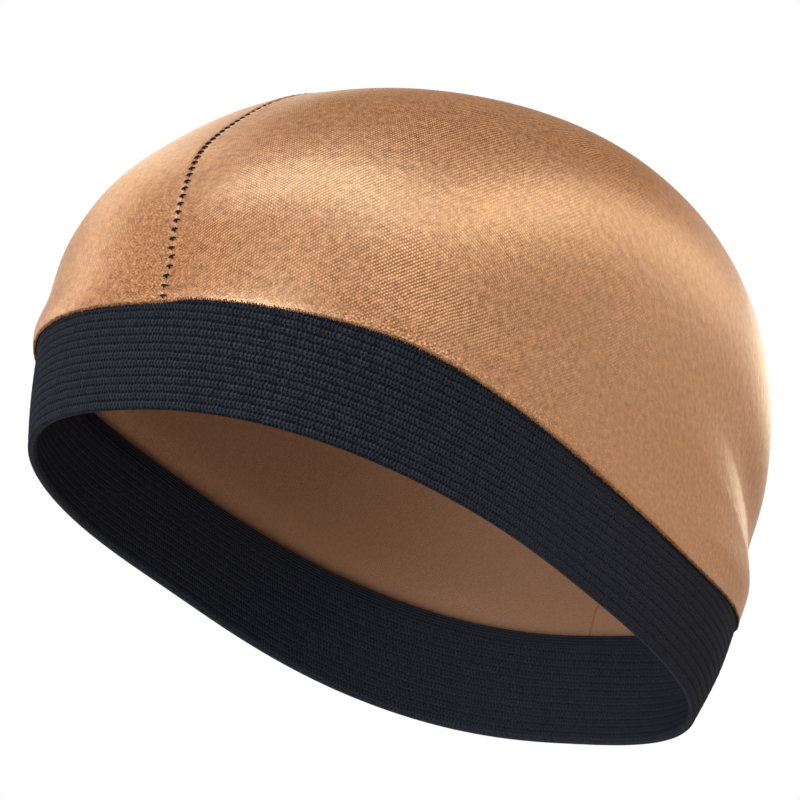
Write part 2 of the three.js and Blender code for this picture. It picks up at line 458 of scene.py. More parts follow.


# %% Satin, face and reverse
# Gap and float tones: the floats' light, whiter end is painted highlight and the gaps' dark end painted
# shade of the fine relief, around the satin's own copper-brown.
SATIN_DARK = (0.090, 0.013, 0.002, 1)
SATIN_LIGHT = (0.740, 0.362, 0.170, 1)
# Painted: the floats' colour is made redder where the weave hardly shows, away from the brow, to offset the
# grey that the white room's reflection lays on the gloss there.
SATIN_LIGHT_PAINTED_REDDER = (0.790, 0.248, 0.048, 1)  # redder where the weave hardly shows
SATIN_MIDDLE = 0.25  # where the cloth's own colour lies between dark gap and light float
# Painted shade: dark brown on the hem's folded edge, where the real cap is shaded.
HEM_PAINTED_SHADE_COLOUR = (0.085, 0.014, 0.001, 1)
REVERSE_DARK = (0.13, 0.058, 0.027, 1)
REVERSE_LIGHT = (0.33, 0.165, 0.085, 1)


def satin_material():
    """Copper-brown stretch satin, as seen from outside."""
    shader = Shader("satin_face")
    weave = Weave(shader)
    show = shader.stored("weave_shows")
    patches = shader.spread(weave.noise(55.0, 1.5), 0.38, 0.62, 0.17, 0.64)
    contrast = shader.math("MULTIPLY", patches, show)
    raised = shader.math("MAXIMUM", weave.height, shader.math("MULTIPLY", weave.height, 0.55))
    # painted highlight and shade: the weave's height lightens the floats and darkens the gaps
    lift = shader.math("MULTIPLY_ADD", raised, contrast, SATIN_MIDDLE)
    lift = shader.shake(weave.chance, shader.math("MULTIPLY", show, 0.2), lift)
    mottle = weave.noise(800.0, 2.0)
    lift = shader.shake(mottle, 0.55, lift)
    # painted highlight: glints that lighten the colour along the hem's roll
    painted_glints = shader.math("MULTIPLY", shader.math("MAXIMUM", weave.grains, -0.1), 0.36)
    lift = shader.math("MULTIPLY_ADD", painted_glints, shader.stored("hem_ridge"), lift)
    # painted: mixes in the redder float colour where the weave hardly shows
    tone = shader.mix(lift, SATIN_DARK, shader.mix(show, SATIN_LIGHT_PAINTED_REDDER, SATIN_LIGHT))
    # painted shade: the hem's folded edge turns dark brown, with a ragged upper border
    ragged_painted_shade = shader.shake(mottle, 1.4, shader.stored("hem_fold"))
    tone = shader.mix(shader.spread(ragged_painted_shade, 0.42, 0.58), tone, HEM_PAINTED_SHADE_COLOUR)
    fine = shader.bump(weave.height, 0.000014)
    return shader.finish(
        Base_Color=tone,
        Metallic=0.2,
        Roughness=0.37,
        IOR=2.6,
        Specular_Tint=(1.0, 0.785, 0.48, 1.0),
        Normal=shader.bump(weave.noise(330.0, 1.5), 0.00015, Normal=fine),
    )


def satin_reverse_material():
    """The duller reverse of the satin, seen inside the cap."""
    shader = Shader("satin_reverse")
    weave = Weave(shader)
    lift = shader.math("MULTIPLY_ADD", weave.chance, 0.2, 0.3)
    lift = shader.math("MULTIPLY_ADD", weave.height, 0.2, lift)
    tone = shader.mix(lift, REVERSE_DARK, REVERSE_LIGHT)
    fine = shader.bump(weave.height, 0.00005)
    return shader.finish(Base_Color=tone, Roughness=0.75, Specular_IOR_Level=0.3, Normal=fine)


satin_face = satin_material()
satin_reverse = satin_reverse_material()
print("satin courses every", round(1 / math.hypot(*COURSES_PER_MM), 2), "mm of the flat pattern")

# %% [markdown]
# ## The satin panels
# Each panel is a closed wall: an outer sheet, an inner sheet, and the turned edges between them. Its rows
# run round the head from the seam over the brow to the seam at the nape, and are drawn together at the
# apex. The seam wanders a little, because the cap sits askew, so each row starts where the seam is at its
# level. Near the hem the cloth is folded under and stands out over the band as a soft roll.
# Near the hem the folded edge is painted darker as painted shade, and the roll above it carries painted
# glints.

# %% Seam path and hem section
SEAM_LEVELS = (0.0, 0.15, 0.3, 0.45, 0.6, 0.75, 0.9, 1.05, 1.2, 1.45)
SEAM_TURNS = (-2.3, -2.6, -3.3, -4.2, -3.6, -1.5, 2.15, 4.4, 4.7, 5.6)
SEAM_LEAN = 0.0503
SEAM_GAP = 0.03
HEM_UP = (0.0, 0.12, 0.35, 0.7, 1.3, 2.2, 3.2, 4.6, 6.5, 9.0, 12.0, 15.0)
HEM_OUTER = (0.44, 0.74, 0.95, 1.07, 1.14, 1.14, 1.07, 0.93, 0.71, 0.46, 0.28, 0.2)
HEM_INNER = (0.36, 0.36, 0.36, 0.36, 0.36, 0.36, 0.36, 0.30, -0.1, -0.5, -0.75, -0.8)
PANEL_COLUMNS = 190
PANEL_ROWS = 205
HEM_ROWS = 37  # how many of them lie in the hem
SEAM_CROWDING = 0.62  # how much closer the columns stand by the seam
HEM_STEP = 0.8  # how much lower the hems start at the seam
HEM_STEP_FADE = {1: math.radians(2.4), -1: math.radians(16)}
ROLL_SHARES = (  # azimuth, and how much of the hem's roll is there
    (-180, 0.5), (-60, 1.0), (-20, 0.6), (8, 0.2), (30, 0.35), (42, 0.8),
    (60, 1.0), (100, 0.7), (122, 0.15), (150, 0.15), (180, 0.5),
)
# How strong the roll's glints, a painted highlight that lightens its colour, are round the head.
ROLL_PAINTED_GLINT_SHARES = (  # azimuth, and how much the roll glints
    (-180, 0.1), (-30, 0.15), (12, 0.3), (30, 0.9), (62, 0.9), (80, 0.3), (180, 0.1),
)


def seam_turn(level):
    """How far the seam has turned round the head at a level."""
    return np.radians(smooth_between(level, SEAM_LEVELS, SEAM_TURNS))


def from_seam_on(turn, level):
    """Disc places at a turn from the seam over the brow, which itself turns and leans with the level."""
    azimuth = turn + seam_turn(level)
    lean = SEAM_LEAN * np.maximum(1 - level**2, 0) ** 2
    return level * np.sin(azimuth) - lean, level * np.cos(azimuth)


def panel_places(side):
    """Disc places of a panel's grid, and each row's height above the hem's edge."""
    even = np.arange(HEM_ROWS) / (HEM_ROWS - 1)
    hem_steps = np.interp(even, np.linspace(0, 1, len(HEM_UP)), HEM_UP)
    even = np.linspace(0, 1, PANEL_COLUMNS + 1)
    eased = (1 - np.cos(math.pi * even)) / 2
    straight = side * math.pi * (even * (1 - SEAM_CROWDING) + SEAM_CROWDING * eased)
    hem_level = level_at(straight, round_the_head(HEM_HEIGHTS, straight))
    at_hem = straight + seam_turn(hem_level)
    hem = round_the_head(HEM_HEIGHTS, at_hem)
    hem = hem - HEM_STEP * np.exp(-((straight / HEM_STEP_FADE[side]) ** 2))
    top_level = level_at(at_hem, hem + HEM_UP[-1])
    rows = [(level_at(at_hem, hem + up), np.full_like(hem, up)) for up in hem_steps]
    for k in range(1, PANEL_ROWS - HEM_ROWS):
        share = k / (PANEL_ROWS - HEM_ROWS)
        rows.append((top_level * (1 - share), np.full_like(hem, HEM_UP[-1] + 100 * share)))
    levels = np.array([row[0] for row in rows])
    ups = np.array([row[1] for row in rows])
    return *from_seam_on(straight, levels), ups


print("panel grid:", panel_places(1)[0].shape)

# %% [markdown]
# The weave has to lie on the dome as it does on the real panel, which was cut flat. A map from the side
# of the head outwards keeps lengths along every line from the panel's middle, so the rows of floats run
# level at the side and climb away from the seam at the brow, as they do in a stretched flat panel.

# %% Flat pattern of a panel
PATTERN_RADIUS = 88.0
PATTERN_CENTRE = np.array([0.0, 49.2, 9.2])


def flat_pattern(points, side):
    """Place of each point on the panel's flat pattern, in metres: back is x, up is y."""
    away = unit(points - PATTERN_CENTRE)
    bend = np.arccos(np.clip(away[..., 0] * side, -1, 1))
    ring_length = np.hypot(away[..., 1], away[..., 2]) + 1e-9
    radius = PATTERN_RADIUS * bend
    back = radius * away[..., 1] / ring_length
    up = radius * away[..., 2] / ring_length
    c, s = math.cos(RIM_TILT), math.sin(RIM_TILT)
    return np.stack([back * c + up * s, -back * s + up * c], -1) * MM


# %% Relief of a panel
SEAM_GROOVE = 0.24  # depth
GROOVE_WIDTH = 0.8
PUCKER_HEIGHT = 0.15
PUCKER_PITCH = 2.6
PUCKER_WIDTH = 2.0
LIP_HEIGHT = 0.35
LIP_FROM_SEAM = 1.6
LIP_WIDTH = 1.1
LIP_STARTS = 90.0  # height on the head from which the lip grows over the crown
LIP_FULL = 110.0
# Height of the hem's edge that is painted dark brown as painted shade.
HEM_PAINTED_SHADE_HEIGHT = 1.1  # height of the folded edge that lies in its own shade
# It also sets how much of the painted redder float colour the satin gets.
WEAVE_FADE = (  # azimuth, and how clearly the weave shows
    (-180, 0.30), (-60, 0.42), (-15, 0.62), (8, 0.9), (20, 1.0), (45, 1.0),
    (75, 0.6), (105, 0.24), (180, 0.24),
)


def panel_relief(from_seam, along, ups, side, height, front):
    """Small relief of the outer sheet: the seam's groove, its puckers and the right panel's lip."""
    groove = -SEAM_GROOVE * np.exp(-((from_seam / GROOVE_WIDTH) ** 2))
    pucker = PUCKER_HEIGHT * np.cos(2 * math.pi * along / PUCKER_PITCH)
    pucker = pucker * np.exp(-((from_seam / PUCKER_WIDTH) ** 2))
    over = np.clip((height - LIP_STARTS) / (LIP_FULL - LIP_STARTS), 0, 1) * (side < 0)
    over = over * np.clip((front + 0.1) / 0.25, 0, 1)
    lip = LIP_HEIGHT * np.exp(-(((from_seam - LIP_FROM_SEAM) / LIP_WIDTH) ** 2)) * over
    return (groove + pucker) * np.clip(ups / 3, 0, 1) + lip


def hem_section(ups, reaches):
    """Distance out of the skin at heights above the hem's edge, from one of the hem's tables."""
    return smooth_between(np.clip(ups, 0, HEM_UP[-1]), HEM_UP, reaches)


def hem_reach(ups, azimuth):
    """How far the outer sheet stands out of the skin, at a height above the hem's edge."""
    outer = hem_section(ups, HEM_OUTER)
    roll = by_azimuth(azimuth, ROLL_SHARES)
    return np.where(outer > HEM_OUTER[0], HEM_OUTER[0] + (outer - HEM_OUTER[0]) * roll, outer)


def looks_of_cloth(azimuth, ups, from_seam, side):
    """The numbers that the satin's shader reads from each point of a panel."""
    rumple = np.exp(-((from_seam / 9) ** 2)) + 0.7 * np.exp(-((ups / 6) ** 2)) + (0.8 if side < 0 else 0.0)
    rumple = rumple + by_azimuth(azimuth, ((45, 0.0), (85, 0.8)))
    # painted highlight along the roll, about 1.5 mm above the hem's edge
    ridge = np.exp(-(((ups - 1.5) / 0.95) ** 2)) * by_azimuth(azimuth, ROLL_PAINTED_GLINT_SHARES)
    return {
        # painted shade: full at the hem's edge and gone at its painted-shade height
        "hem_fold": np.clip(1 - ups / HEM_PAINTED_SHADE_HEIGHT, 0, 1),
        "hem_ridge": ridge,
        "weave_shows": by_azimuth(azimuth, WEAVE_FADE),
        "rumple": np.clip(rumple, 0, 1),
    }


# %% Build the two panels
def wall_faces(rows, columns):
    """Faces of a closed wall, its rows running over the inner sheet and back, and which are inner."""
    width = 2 * columns
    faces = []
    for i in range(rows - 1):
        for k in range(width):
            a, b = i * width + k, i * width + (k + 1) % width
            faces.append((a, a + width, b + width, b))
    last = (rows - 1) * width
    tips = [rows * width] * columns + [rows * width + 1] * columns
    for k in range(width):
        after = (k + 1) % width
        ends = (tips[k],) if tips[k] == tips[after] else (tips[k], tips[after])
        faces.append((last + k, *ends, last + after))
    faces += [(k, k + 1, width - 2 - k, width - 1 - k) for k in range(columns - 1)]
    inside = [int(k % width < columns - 1) for k in range(rows * width)]
    return faces, inside + [0] * (columns - 1)


def there_and_back(inner, outer, tips):
    """Values for a wall's points: each row up the inner sheet and down the outer, then the apex's two."""
    loop = np.concatenate([inner, outer[:, ::-1]], 1)
    return np.concatenate([loop.reshape(-1, *loop.shape[2:]), tips])


def build_panel(name, side):
    """One satin panel as a closed wall with its flat pattern."""
    left, front, ups = panel_places(side)
    azimuth = np.arctan2(left, front)
    shape, normal = skin(left, front), skin_normal(left, front)
    from_brow = run_along(shape, 1)
    from_seam = np.minimum(from_brow, from_brow[:, -1:] - from_brow)
    relief = panel_relief(from_seam, run_along(shape), ups, side, shape[..., 2], front)
    outer = hem_reach(ups, azimuth) + relief
    inner = hem_section(ups, HEM_INNER)

    apex_place = from_seam_on(0.0, np.zeros(1))
    apex = skin(*apex_place)
    tips = apex + skin_normal(*apex_place) * [[HEM_INNER[-1]], [HEM_OUTER[-1] - SEAM_GROOVE]]
    points = there_and_back(shape + normal * inner[..., None], shape + normal * outer[..., None], tips)
    points[:, 0] += side * SEAM_GAP / 2
    faces, inside = wall_faces(*left.shape)
    if side < 0:
        faces = [face[::-1] for face in faces]
    piece = new_mesh_object(name, to_frame(points), faces, inside)

    pattern = flat_pattern(shape, side)
    apex_pattern = np.repeat(flat_pattern(apex, side), 2, axis=0)
    set_uv(piece, there_and_back(pattern, pattern, apex_pattern))
    for key, value in looks_of_cloth(azimuth, ups, from_seam, side).items():
        set_value(piece, key, there_and_back(value, value, [value[-1, 0]] * 2))
    piece.data.materials.append(satin_face)
    piece.data.materials.append(satin_reverse)
    return piece


panels = {1: build_panel("satin_panel_left", 1), -1: build_panel("satin_panel_right", -1)}
print({p.name: len(p.data.polygons) for p in panels.values()})

# %% [markdown]
# ## Knitted elastic
# The band is a warp-knitted elastic: fine ribs run all round the head, with a rubber core in each, and
# every rib is a chain of tiny loops. The ribs catch the light at the silhouette, so they are real relief,
# made by Geometry Nodes from a plain ring. The loops are colour and bump, from the band's own flat
# pattern: each has one raised spot and two holes.
# The holes are painted darker and the raised spot lighter, as painted shade and painted highlight over the
# bump.

# %% Knitted elastic material
RIB_PITCH = 1.97
LOOP_PITCH = 1.015
KNIT_BASE = 0.72
KNIT_SPOTS = (  # place along and how sharp, place across and how sharp, height
    (0.08, 0.72, 0.905, 3.0, 1.03),
    (0.0, 0.47, 0.0, 0.97, -0.92),
    (0.6, 2.8, 0.57, 5.5, -0.68),
)
KNIT_MIDDLE = 0.77  # height of the knit that keeps its tone
KNIT_TONE = 0.37  # that tone, from dark to light
# Dark is the holes' painted shade and light the raised spot's painted highlight, around the yarn's own
# near-black navy.
KNIT_DARK = (0.0030, 0.0034, 0.0048, 1)
KNIT_LIGHT = (0.0395, 0.0420, 0.0570, 1)


def elastic_material():
    """Near-black navy knitted elastic."""
    shader = Shader("knitted_elastic")
    place = shader.add("UVMap", uv_map="cloth")
    across = shader.math("DIVIDE", shader.add("SeparateXYZ", {0: place}, "Y"), RIB_PITCH * MM)
    across = shader.shake(shader.noise(place, 450.0, 1.0), 0.35, across)
    wander = shader.math("MULTIPLY", shader.noise(place, 330.0, 1.5), 1.6)
    along = shader.math("DIVIDE", shader.add("SeparateXYZ", {0: place}, "X"), LOOP_PITCH * MM)
    along = shader.math("ADD", along, shader.math("MULTIPLY_ADD", across, 0.09, wander))

    def swell(turns, middle, sharpness):
        angle = shader.math("MULTIPLY", shader.math("SUBTRACT", turns, middle), math.tau)
        wave = shader.math("COSINE", angle)
        return shader.math("POWER", shader.math("MULTIPLY_ADD", wave, 0.5, 0.5), sharpness)

    height = KNIT_BASE
    for *in_rib, across_at, across_sharp, rise in KNIT_SPOTS:
        spot = shader.math("MULTIPLY", swell(along, *in_rib), swell(across, across_at, across_sharp))
        height = shader.math("MULTIPLY_ADD", spot, rise, height)
    chance = shader.chance(shader.math("FLOOR", along), shader.math("FLOOR", across))
    lift = shader.math("MULTIPLY", height, shader.math("MULTIPLY_ADD", chance, 0.24, 0.88))
    lift = shader.math("SUBTRACT", lift, KNIT_MIDDLE)
    lift = shader.math("MULTIPLY_ADD", lift, shader.stored("weave_shows"), KNIT_TONE)
    lift = shader.shake(shader.noise(place, 2300.0, 2.0), 0.8, lift)
    tone = shader.mix(lift, KNIT_DARK, KNIT_LIGHT)
    relief = shader.bump(height, 0.00018)
    return shader.finish(Base_Color=tone, Roughness=0.9, Specular_IOR_Level=0.03, Normal=relief)


knitted_elastic = elastic_material()

# %% Ribs by Geometry Nodes
BAND_THICKNESS = 1.8
BAND_INSET = 0.15  # how far its outer face lies within the skin
BAND_LAP = 3.2
BAND_COLUMNS = 420
BAND_EDGE_ROUND = 0.5
BAND_MIDDLE = 1.5  # level on which its length is measured
BAND_RELIEF = 0.26
BAND_WEAVE_FADE = (  # azimuth, and how clearly the knit shows
    (-180, 0.35), (-30, 0.5), (0, 0.74), (18, 1.0), (30, 1.0), (40, 0.9),
    (52, 0.72), (65, 0.58), (80, 0.42), (180, 0.35),
)


class Growth(Nodes):
    """Short way to write a Geometry Nodes tree with named inputs."""

    def __init__(self, name, **kinds):
        super().__init__(bpy.data.node_groups.new(name, "GeometryNodeTree"))
        face = self.tree.interface
        for key, kind in {"geometry": "Geometry", **kinds}.items():
            label = key.replace("_", " ").capitalize()
            face.new_socket(label, in_out="INPUT", socket_type="NodeSocket" + kind)
        face.new_socket("Geometry", in_out="OUTPUT", socket_type="NodeSocketGeometry")
        self.given = self.tree.nodes.new("NodeGroupInput").outputs

    def stored(self, name, data_type="FLOAT"):
        """A value that is stored on each point."""
        kind = "GeometryNodeInputNamedAttribute"
        return self.add(kind, {"Name": name}, "Attribute", data_type=data_type)

    def finish(self, geometry, material):
        """Makes the instances real, gives them their material and ends the tree."""
        real = self.add("GeometryNodeRealizeInstances", {0: geometry})
        dressed = self.add("GeometryNodeSetMaterial", {"Geometry": real, "Material": material})
        self.put(self.tree.nodes.new("NodeGroupOutput").inputs[0], dressed)
        return self.tree


def rib_tree(material):
    """Geometry Nodes that raise ribs from a plain ring, by each point's height stored on it."""
    tree = Growth("ribs", rib_pitch="Float", relief="Float")
    turns = tree.math("DIVIDE", tree.stored("up"), tree.given["Rib pitch"])
    arch = tree.math("SINE", tree.math("MULTIPLY", tree.math("FRACT", turns), math.pi))
    lift = tree.math("MULTIPLY", tree.math("POWER", arch, 0.35), tree.given["Relief"])
    normal = tree.add("GeometryNodeInputNormal")
    out = tree.add("VectorMath", {0: normal, "Scale": lift}, operation="SCALE")
    raised = tree.add("GeometryNodeSetPosition", {"Geometry": tree.given["Geometry"], "Offset": out})
    return tree.finish(raised, material)


def apply_tree(piece, tree, **values):
    """Runs a tree on a piece with its inputs set, and keeps the result as a plain mesh."""
    modifier = piece.modifiers.new(tree.name, "NODES")
    modifier.node_group = tree
    for socket in tree.interface.items_tree:
        key = socket.name.replace(" ", "_").lower()
        if socket.in_out == "INPUT" and key in values:
            modifier[socket.identifier] = values[key]
    result = bpy.data.meshes.new_from_object(piece.evaluated_get(bpy.context.evaluated_depsgraph_get()))
    piece.modifiers.remove(modifier)
    piece.data = result
    return piece


# %% Build the band
RIB_ROWS = 9  # steps over each rib, on the outer face
INNER_ROWS = 3


def band_section(top):
    """Heights and distances out of the skin, up the outer face and down the inner one."""
    ribs = round(top / RIB_PITCH)
    heights = np.linspace(0, top, ribs * RIB_ROWS + 1)
    inner_heights = np.linspace(0, top, ribs * INNER_ROWS + 1)[::-1]

    def rounding(height):
        near = np.minimum(height, top - height) / BAND_EDGE_ROUND
        return BAND_EDGE_ROUND * (1 - np.sqrt(1 - (1 - np.clip(near, 0, 1)) ** 2))

    outer = np.stack([heights, -BAND_INSET - rounding(heights)], 1)
    inner = np.stack([inner_heights, rounding(inner_heights) - BAND_THICKNESS], 1)
    return np.concatenate([outer, inner])


def build_band():
    """The elastic as a closed ring of level ribs, whose upper part is drawn in under the satin's hem."""
    azimuth = np.linspace(-math.pi, math.pi, BAND_COLUMNS, endpoint=False)
    hem = round_the_head(HEM_HEIGHTS, azimuth)[:, None]
    full = math.ceil((hem.max() + BAND_LAP) / RIB_PITCH) * RIB_PITCH
    height, out = band_section(full).T
    drawn_in = hem + np.maximum(height - hem, 0) * BAND_LAP / (full - hem)
    up = np.minimum(height, drawn_in)
    level = level_at(azimuth[:, None], up)
    left, front = level * np.sin(azimuth)[:, None], level * np.cos(azimuth)[:, None]
    shape, normal = skin(left, front), skin_normal(left, front)
    points = shape + normal * out[None, :, None]
    count = len(height)
    faces = []
    for j in range(BAND_COLUMNS):
        row, ahead = j * count, ((j + 1) % BAND_COLUMNS) * count
        faces += [(row + k, ahead + k, ahead + (k + 1) % count, row + (k + 1) % count) for k in range(count)]
    piece = new_mesh_object("elastic_band_knit", to_frame(points.reshape(-1, 3)), faces)
    closed = np.append(azimuth, azimuth[0])
    run = run_along(skin(BAND_MIDDLE * np.sin(closed), BAND_MIDDLE * np.cos(closed)))
    set_band_uv(piece, run * MM, height * MM)
    set_value(piece, "weave_shows", np.repeat(by_azimuth(azimuth, BAND_WEAVE_FADE), count))
    set_value(piece, "up", np.tile(height * MM, BAND_COLUMNS))
    return piece


def set_band_uv(piece, run, heights):
    """The band's flat pattern, corner by corner so that it doesn't turn back where the ring closes."""
    count = len(heights)
    corner = np.arange(BAND_COLUMNS * count)
    column, row = corner // count, corner % count
    after = (row + 1) % count
    corners = (column, row), (column + 1, row), (column + 1, after), (column, after)
    uv = np.stack([np.stack([run[across], heights[up]], -1) for across, up in corners], 1)
    layer = piece.data.uv_layers.new(name="cloth")
    layer.data.foreach_set("uv", uv.astype(np.float32).ravel())


ribs = rib_tree(knitted_elastic)
band = apply_tree(build_band(), ribs, rib_pitch=RIB_PITCH * MM, relief=BAND_RELIEF * MM)
band.data.shade_smooth()
print("band faces:", len(band.data.polygons))

# %% [markdown]
# ## Seam stitches
# The panels are joined with dark thread, whose short bars cross the seam every 2.6 mm and end in a small
# tail where the thread dives back into the cloth. Placed by hand they would take hours. So a stitch is
# modelled once, and Geometry Nodes put a copy at each place along the seam, turned to the seam and to the
# cloth, each a little different. Over the crown they are smaller, because the seam sinks between the
# panels there.

# %% Thread
STITCH_PITCH = 2.6
STITCH_LENGTH = 2.0
STITCH_WIDTH = 0.66
STITCH_SWAY = math.radians(10)
SEAM_START = 0.3  # height of the seam's ends above the hem's edge
FIRST_STITCH = 0.8  # how far along the seam it stands
SEAM_REST = 0.4  # length left free at the other end
STITCH_SINKS = (70, 115), (0.04, 0.42)  # heights, and how deep a stitch lies in the seam there
STITCH_SIZES = (88, 108), (1.0, 0.72)  # heights, and its size there


def thread_material():
    """Dark navy thread with a faint twist."""
    shader = Shader("dark_thread")
    winding = {"Vector": shader.add("TexCoord", None, "Object"), "Scale": 900.0, "Distortion": 1.0}
    twist = shader.add("TexWave", winding, bands_direction="DIAGONAL")
    tone = shader.mix(twist, (0.0015, 0.0018, 0.0035, 1), (0.006, 0.007, 0.012, 1))
    return shader.finish(Base_Color=tone, Roughness=0.7, Specular_IOR_Level=0.12)


dark_thread = thread_material()


def tube_faces(first, rings, sides):
    """Faces between rings of points that follow one another from the first point on."""
    starts = [first + i * sides for i in range(rings - 1)]
    edges = [(start + k, start + (k + 1) % sides) for start in starts for k in range(sides)]
    return [(a, b, b + sides, a + sides) for a, b in edges]


def stitch_model():
    """One stitch: a bar across the seam and a short tail along it, in metres, lying in the XY plane."""
    rings, sides = 7, 6
    points, faces = [], []

    def spindle(start, end, thick, arch):
        first = len(points)
        along = (end - start).normalized()
        wide = along.cross(Vector((0, 0, 1)))
        for i in range(rings):
            t = i / (rings - 1)
            fat = thick / 2 * max(math.sin(math.pi * (0.06 + 0.88 * t)), 0.0) ** 0.6
            middle = start.lerp(end, t) + Vector((0, 0, arch * math.sin(math.pi * t)))
            for k in range(sides):
                angle = 2 * math.pi * k / sides
                rise = Vector((0, 0, math.sin(angle) * fat * 0.8))
                points.append(middle + wide * math.cos(angle) * fat + rise)
        faces.extend(tube_faces(first, rings, sides))
        faces.append(tuple(first + k for k in reversed(range(sides))))
        faces.append(tuple(first + (rings - 1) * sides + k for k in range(sides)))

    half = STITCH_LENGTH / 2
    bar = Vector((0, -half, -0.12)) * MM, Vector((0, half, -0.12)) * MM
    tail = Vector((0.1, 0, 0.0)) * MM, Vector((-0.62, 0, -0.2)) * MM
    spindle(*bar, STITCH_WIDTH * MM, 0.28 * MM)
    spindle(*tail, STITCH_WIDTH * 0.75 * MM, 0.06 * MM)
    return new_mesh_object("stitch_pattern", points, faces)


# %% Stitches by Geometry Nodes
def stitch_tree(pattern, material):
    """Geometry Nodes that set a pattern on every point, turned and sized by what is stored on it."""
    tree = Growth("stitches", sway="Float", seed="Int")
    directions = {0: tree.stored("out", "FLOAT_VECTOR"), 1: tree.stored("along", "FLOAT_VECTOR")}
    aim = tree.add("FunctionNodeAxesToRotation", directions, primary_axis="Z", secondary_axis="X")
    placing = {
        "Points": tree.add("GeometryNodeMeshToPoints", {0: tree.given["Geometry"]}),
        "Instance": tree.add("GeometryNodeObjectInfo", {"Object": pattern}, "Geometry"),
        "Rotation": aim,
        "Scale": tree.stored("size"),
    }
    placed = tree.add("GeometryNodeInstanceOnPoints", placing)
    chance = tree.add("FunctionNodeRandomValue", {"Seed": tree.given["Seed"]}, data_type="FLOAT_VECTOR")
    about_z = {0: chance, 1: (0.0, 0.0, 2.0), 2: (0.0, 0.0, -1.0)}
    turn = tree.add("VectorMath", about_z, operation="MULTIPLY_ADD")
    turn = tree.add("VectorMath", {0: turn, "Scale": tree.given["Sway"]}, operation="SCALE")
    turned = tree.add("GeometryNodeRotateInstances", {"Instances": placed, "Rotation": turn})
    return tree.finish(turned, material)


def points_with_directions(name, spots, out, along, sizes):
    """Loose points that carry the cloth's outward direction, the direction to lie along, and a size."""
    piece = new_mesh_object(name, to_frame(spots), [])
    for key, vectors in (("out", out), ("along", along)):
        layer = piece.data.attributes.new(key, "FLOAT_VECTOR", "POINT")
        turned = to_frame(vectors) / MM
        layer.data.foreach_set("vector", turned.astype(np.float32).ravel())
    set_value(piece, "size", sizes)
    return piece


def at_marks(marks, run, line):
    """Points of a line, or other values along it, at distances from its start."""
    return np.stack([np.interp(marks, run, column) for column in line.T], 1)


def seam_line():
    """Fine line along the whole seam, from the hem at the brow over the top to the hem at the nape."""
    columns = []
    for end in (0.0, math.pi):
        edge = level_at(np.array(end), round_the_head(HEM_HEIGHTS, np.array(end)) + SEAM_START)
        levels = np.linspace(float(edge), 0.0, 400)
        places = np.stack(from_seam_on(end, levels), 1)
        columns.append(places if end == 0 else places[::-1][1:])
    return np.concatenate(columns)


def build_stitches():
    """A point for each stitch, with the seam's and the cloth's directions, and the stitches set on them."""
    places = seam_line()
    run = run_along(skin(places[:, 0], places[:, 1]))
    marks = np.arange(FIRST_STITCH, run[-1] - SEAM_REST, STITCH_PITCH)
    left, front = at_marks(marks, run, places).T
    spot, out = skin(left, front), skin_normal(left, front)
    from_hem = np.minimum(marks, run[-1] - marks) + SEAM_START
    sunk = np.interp(spot[:, 2], *STITCH_SINKS)
    sizes = np.interp(spot[:, 2], *STITCH_SIZES)
    spot = spot + out * (hem_section(from_hem, HEM_OUTER) - sunk)[:, None]
    ahead = unit(np.gradient(spot, axis=0))
    print("stitches:", len(marks), "on a seam of", round(float(run[-1]), 1), "mm")
    piece = points_with_directions("seam_stitches", spot, out, ahead, sizes)
    return apply_tree(piece, stitch_tree(stitch, dark_thread), sway=STITCH_SWAY, seed=5)


stitch = stitch_model()
stitches = build_stitches()
bpy.data.objects.remove(stitch)

# %% [markdown]
# ## The hem's looped edge
# Where the satin is folded under, its floats stand on edge and show as a row of tiny brown loops against
# the band. Geometry Nodes put a small grain on every point of two lines along the hem, turned and
# sized at random, so that the edge looks slightly ragged, as turned satin does.
# The loops' dark brown is partly painted shade of the turned-under fold, over the satin's own brown.

# %% Edge loops
LOOP_LENGTH = 0.80
LOOP_HALVES = (0.30, 0.5, 0.24)  # half its width, length and height, as shares of that length
LOOP_SWAY = math.radians(40)
LOOP_SHAKE = 0.07
LOOP_SIZES = (0.55, 1.05)
LOOP_ROWS = (  # name, height above the hem's edge, how far it stands off the cloth, pitch, seed
    ("hem_loops_edge", 0.05, 0.06, 0.60, 11),
    ("hem_loops_upper", 0.28, -0.03, 0.74, 23),
)


def edge_material():
    """Satin seen on its edge, painted darker than its face as painted shade of the turned-under fold."""
    shader = Shader("satin_edge")
    cloud = shader.noise(shader.add("TexCoord", None, "Object"), 900.0, 2.0)
    lift = shader.spread(cloud, 0.35, 0.68)
    tone = shader.mix(lift, (0.035, 0.010, 0.002, 1), (0.190, 0.066, 0.014, 1))
    tint = (1.0, 0.84, 0.50, 1.0)
    return shader.finish(Base_Color=tone, Metallic=0.2, Roughness=0.5, Specular_Tint=tint)


def loop_model():
    """One float on its edge: a small closed grain of six-sided rings, in metres."""
    rings, sides = 5, 6
    wide, long, high = LOOP_HALVES
    points = [Vector((0, -long, 0))]
    for i in range(rings):
        angle = math.pi * (i + 1) / (rings + 1)
        for k in range(sides):
            turn = math.tau * k / sides
            x, z = math.cos(turn) * wide, math.sin(turn) * high
            points.append(Vector((math.sin(angle) * x, -long * math.cos(angle), math.sin(angle) * z)))
    points.append(Vector((0, long, 0)))
    faces = [(0, 1 + (k + 1) % sides, 1 + k) for k in range(sides)]
    faces += tube_faces(1, rings, sides)
    last = len(points) - 1
    faces += [(last, last - sides + k, last - sides + (k + 1) % sides) for k in range(sides)]
    return new_mesh_object("loop_pattern", [point * LOOP_LENGTH * MM for point in points], faces)


